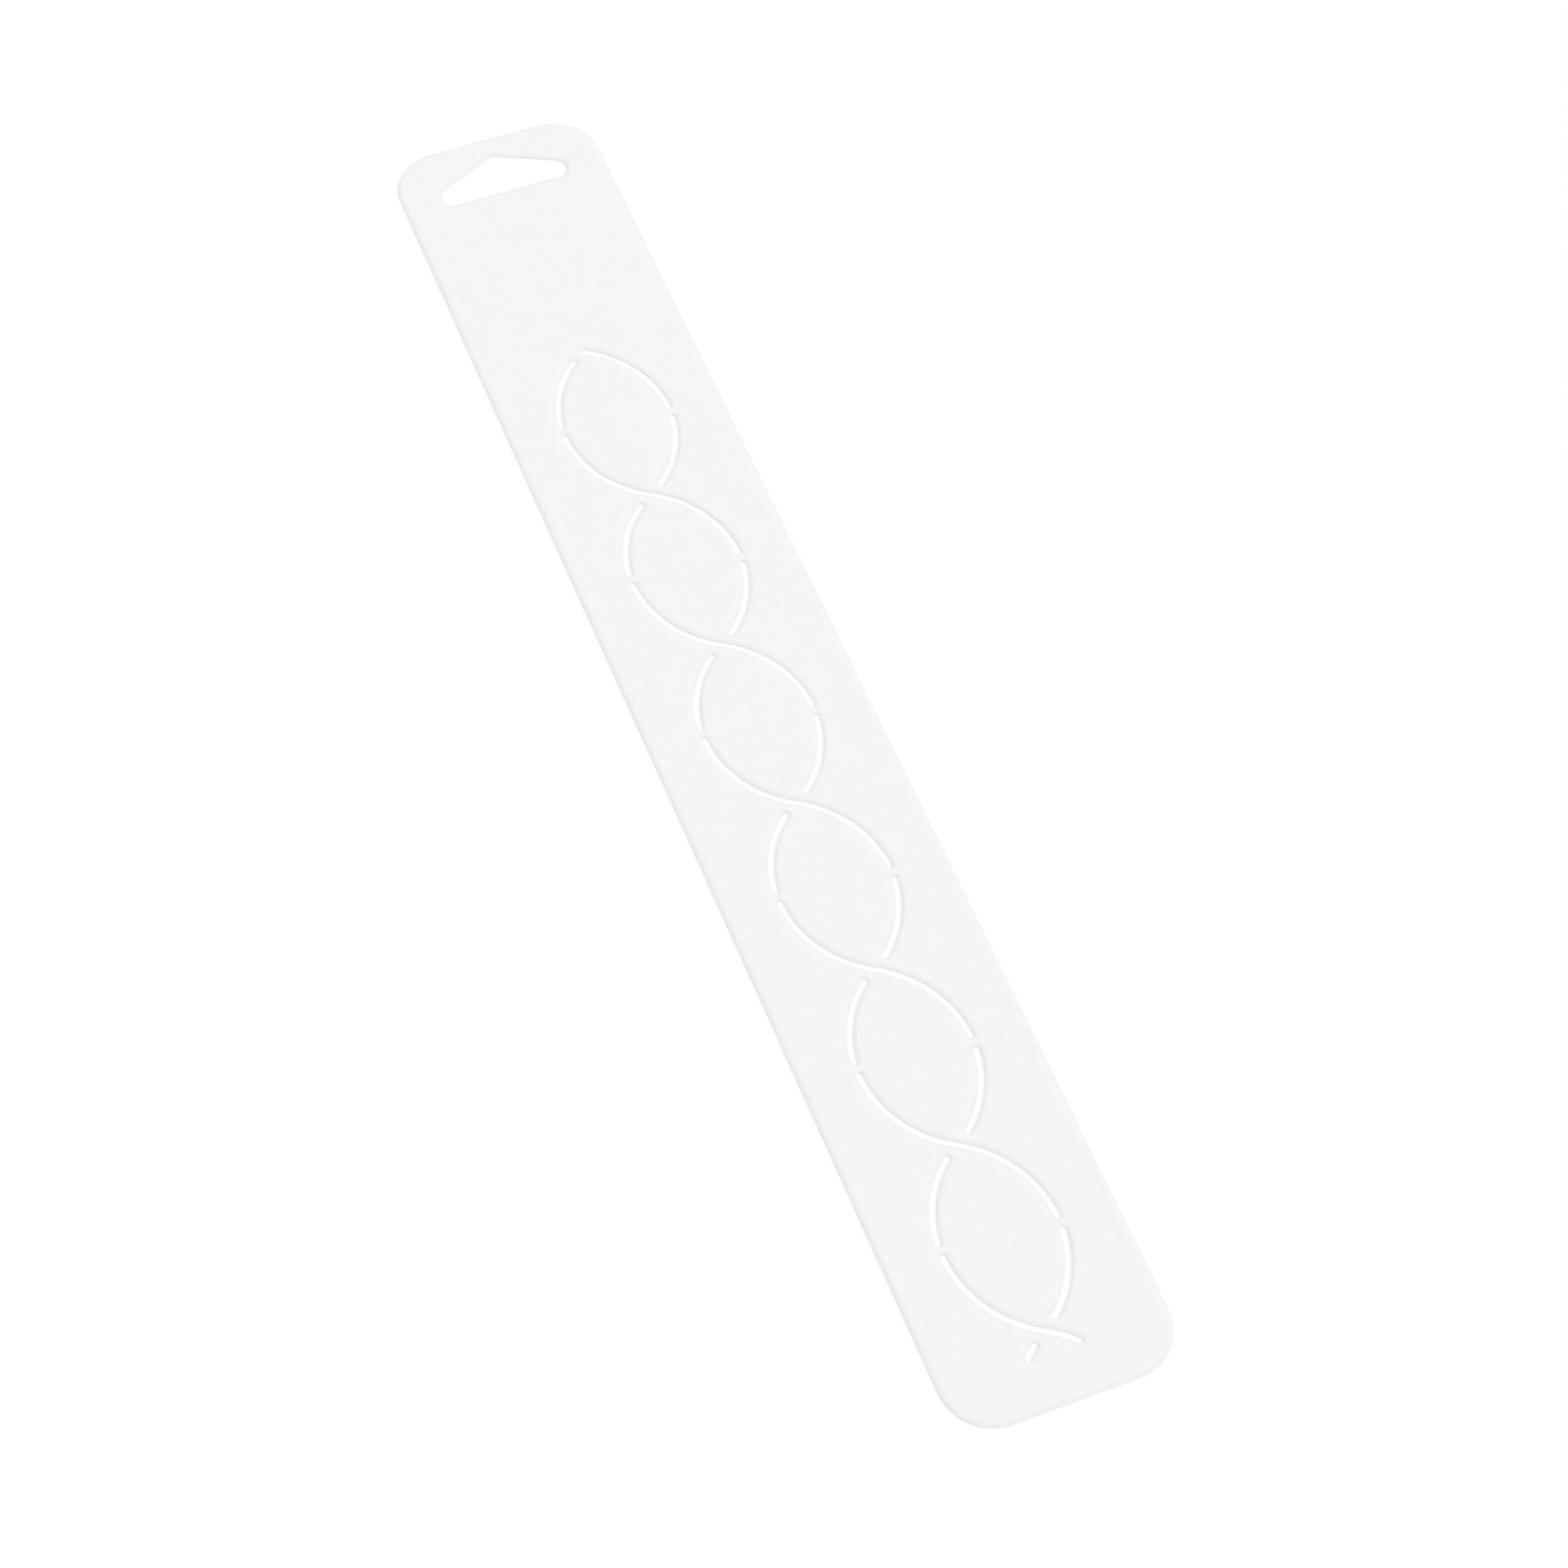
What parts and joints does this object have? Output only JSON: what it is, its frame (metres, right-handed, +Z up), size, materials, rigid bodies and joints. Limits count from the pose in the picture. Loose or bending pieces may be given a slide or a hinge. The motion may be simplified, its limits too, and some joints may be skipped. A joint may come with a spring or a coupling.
{
  "type": "quilting template",
  "caption": "Flat milky plastic quilting stencil with rounded corners, a hang hole and narrow slots that trace a twisted cable for marking on fabric.",
  "frame": {"origin": "middle of the underside of the sheet", "axes": "+X across the sheet, +Y along it towards the hanging end, +Z up out of its upper face"},
  "size_m": [0.066, 0.4572, 0.0005],
  "materials": {
    "milky_plastic": "milky, slightly translucent satin sheet with clean cut edges"
  },
  "bodies": {
    "root": {"template_sheet": "milky_plastic"}
  },
  "joints": []
}
